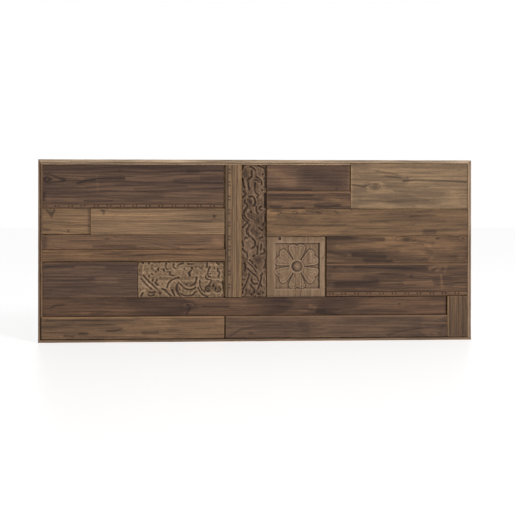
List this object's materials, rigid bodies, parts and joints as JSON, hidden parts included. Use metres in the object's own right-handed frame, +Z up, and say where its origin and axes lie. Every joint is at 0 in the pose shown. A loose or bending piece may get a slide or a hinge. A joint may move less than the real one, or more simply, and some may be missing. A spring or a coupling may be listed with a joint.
{
  "type": "bed headboard",
  "caption": "Long rectangular headboard panel of stepped reclaimed planks with a beaded batten, a carved rosette tile and scroll panels inside a thin mitred frame, hung by a bevelled cleat.",
  "frame": {"origin": "on the floor line, at the middle of the headboard's width and depth", "axes": "+X along the headboard to a viewer's right, +Y from the carved front to the wall, +Z up"},
  "size_m": [1.6, 0.052, 0.67],
  "materials": {
    "pale_plank": "satin, dry reclaimed pine with grey-brown weathering",
    "brown_plank": "satin, brown-stained reclaimed pine",
    "dark_plank": "satin, dark smoke-stained reclaimed pine",
    "carved_wood": "matt, waxed carved hardwood, darker in the hollows",
    "frame_wood": "satin, thin solid edging, lighter on its worn edges",
    "plywood": "matt, bare plywood",
    "batten_pine": "matt, planed softwood",
    "screw_steel": "zinc-plated wood screws",
    "nail_steel": "dull steel wire nails"
  },
  "bodies": {
    "root": {"backing_board": "plywood", "beaded_batten": "pale_plank", "bottom_rail": "frame_wood", "carved_rosette_tile": "carved_wood", "carved_scroll_panel_lying": "carved_wood", "carved_scroll_panel_upright": "carved_wood", "cleat_screw_1": "screw_steel", "cleat_screw_2": "screw_steel", "cleat_screw_3": "screw_steel", "cleat_screw_4": "screw_steel", "cleat_screw_5": "screw_steel", "cleat_screw_6": "screw_steel", "end_block": "brown_plank", "hanging_cleat": "batten_pine", "left_bottom_nail_1": "nail_steel", "left_bottom_nail_2": "nail_steel", "left_lath": "pale_plank", "left_stile": "frame_wood", "left_top_nail_1": "nail_steel", "left_top_nail_2": "nail_steel", "lower_spacer": "batten_pine", "plank_bottom_left": "brown_plank", "plank_bottom_right": "brown_plank", "plank_left_lower": "dark_plank", "plank_left_middle": "brown_plank", "plank_left_narrow": "brown_plank", "plank_left_pale": "pale_plank", "plank_left_short": "brown_plank", "plank_left_top": "dark_plank", "plank_lower_long": "dark_plank", "plank_right_beaded": "dark_plank", "plank_right_corner": "pale_plank", "plank_right_middle": "brown_plank", "plank_right_second": "brown_plank", "plank_right_top": "dark_plank", "plank_right_wide": "brown_plank", "right_bottom_nail_1": "nail_steel", "right_bottom_nail_2": "nail_steel", "right_stile": "frame_wood", "right_top_nail_1": "nail_steel", "right_top_nail_2": "nail_steel", "spacer_screw_1": "screw_steel", "spacer_screw_2": "screw_steel", "spacer_screw_3": "screw_steel", "spacer_screw_4": "screw_steel", "spacer_screw_5": "screw_steel", "spacer_screw_6": "screw_steel", "stiffener_centre": "batten_pine", "stiffener_centre_screw_1": "screw_steel", "stiffener_centre_screw_2": "screw_steel", "stiffener_left": "batten_pine", "stiffener_left_screw_1": "screw_steel", "stiffener_left_screw_2": "screw_steel", "stiffener_right": "batten_pine", "stiffener_right_screw_1": "screw_steel", "stiffener_right_screw_2": "screw_steel", "top_lath": "pale_plank", "top_rail": "frame_wood"}
  },
  "joints": []
}
